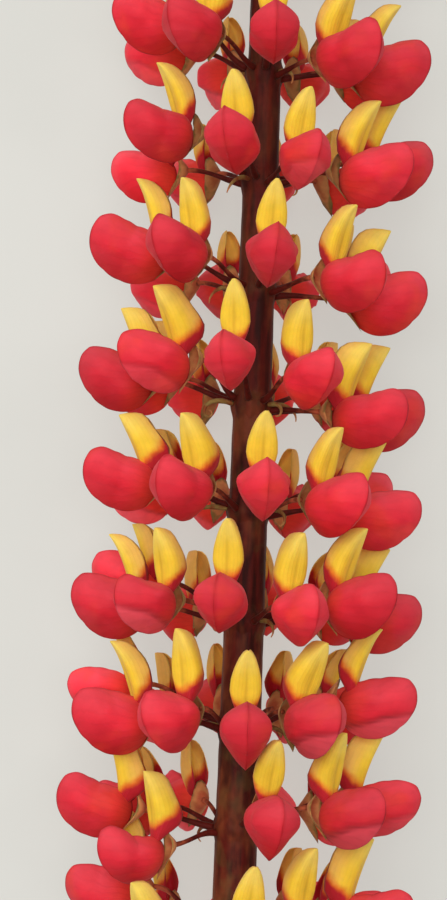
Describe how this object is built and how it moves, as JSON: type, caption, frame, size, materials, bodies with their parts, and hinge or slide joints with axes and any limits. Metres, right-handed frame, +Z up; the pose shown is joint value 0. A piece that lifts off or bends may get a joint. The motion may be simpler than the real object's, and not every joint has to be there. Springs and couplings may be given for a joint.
{
  "type": "lupin flower spike",
  "caption": "Cut lupin flower spike lying on its side: whorls of red and yellow pea-like florets around a dark stem, closing to a cone of buds at the tip.",
  "frame": {"origin": "middle of the bounding box, at the surface the spike lies on", "axes": "+Y along the spike from the cut end of the stem to the tip, +Z up from the surface, +X to the right seen from above with the tip away"},
  "size_m": [0.0682, 0.3373, 0.0602],
  "materials": {
    "stem": "dull dark maroon plant stem, finely downy",
    "petal": "satin red wing petals with yellow banner petals, red at their base",
    "calyx": "downy maroon stalks and green-brown calyces, with the florets of the underside",
    "bud": "downy closed buds, dull red and green"
  },
  "bodies": {
    "root": {"stem": "stem", "corolla_01_1": "petal", "corolla_01_2": "petal", "corolla_01_3": "petal", "corolla_01_4": "petal", "corolla_01_5": "petal", "whorl_01": "calyx", "corolla_02_1": "petal", "corolla_02_2": "petal", "corolla_02_3": "petal", "corolla_02_4": "petal", "corolla_02_5": "petal", "whorl_02": "calyx", "corolla_03_1": "petal", "corolla_03_2": "petal", "corolla_03_3": "petal", "corolla_03_4": "petal", "corolla_03_5": "petal", "whorl_03": "calyx", "corolla_04_1": "petal", "corolla_04_2": "petal", "corolla_04_3": "petal", "corolla_04_4": "petal", "corolla_04_5": "petal", "corolla_04_6": "petal", "whorl_04": "calyx", "corolla_05_1": "petal", "corolla_05_2": "petal", "corolla_05_3": "petal", "corolla_05_4": "petal", "corolla_05_5": "petal", "whorl_05": "calyx", "corolla_06_1": "petal", "corolla_06_2": "petal", "corolla_06_3": "petal", "corolla_06_4": "petal", "corolla_06_5": "petal", "corolla_06_6": "petal", "whorl_06": "calyx", "corolla_07_1": "petal", "corolla_07_2": "petal", "corolla_07_3": "petal", "corolla_07_4": "petal", "corolla_07_5": "petal", "whorl_07": "calyx", "corolla_08_1": "petal", "corolla_08_2": "petal", "corolla_08_3": "petal", "corolla_08_4": "petal", "corolla_08_5": "petal", "whorl_08": "calyx", "corolla_09_1": "petal", "corolla_09_2": "petal", "corolla_09_3": "petal", "corolla_09_4": "petal", "corolla_09_5": "petal", "whorl_09": "calyx", "whorl_10": "calyx", "whorl_11": "calyx", "tip": "bud"}
  },
  "joints": []
}
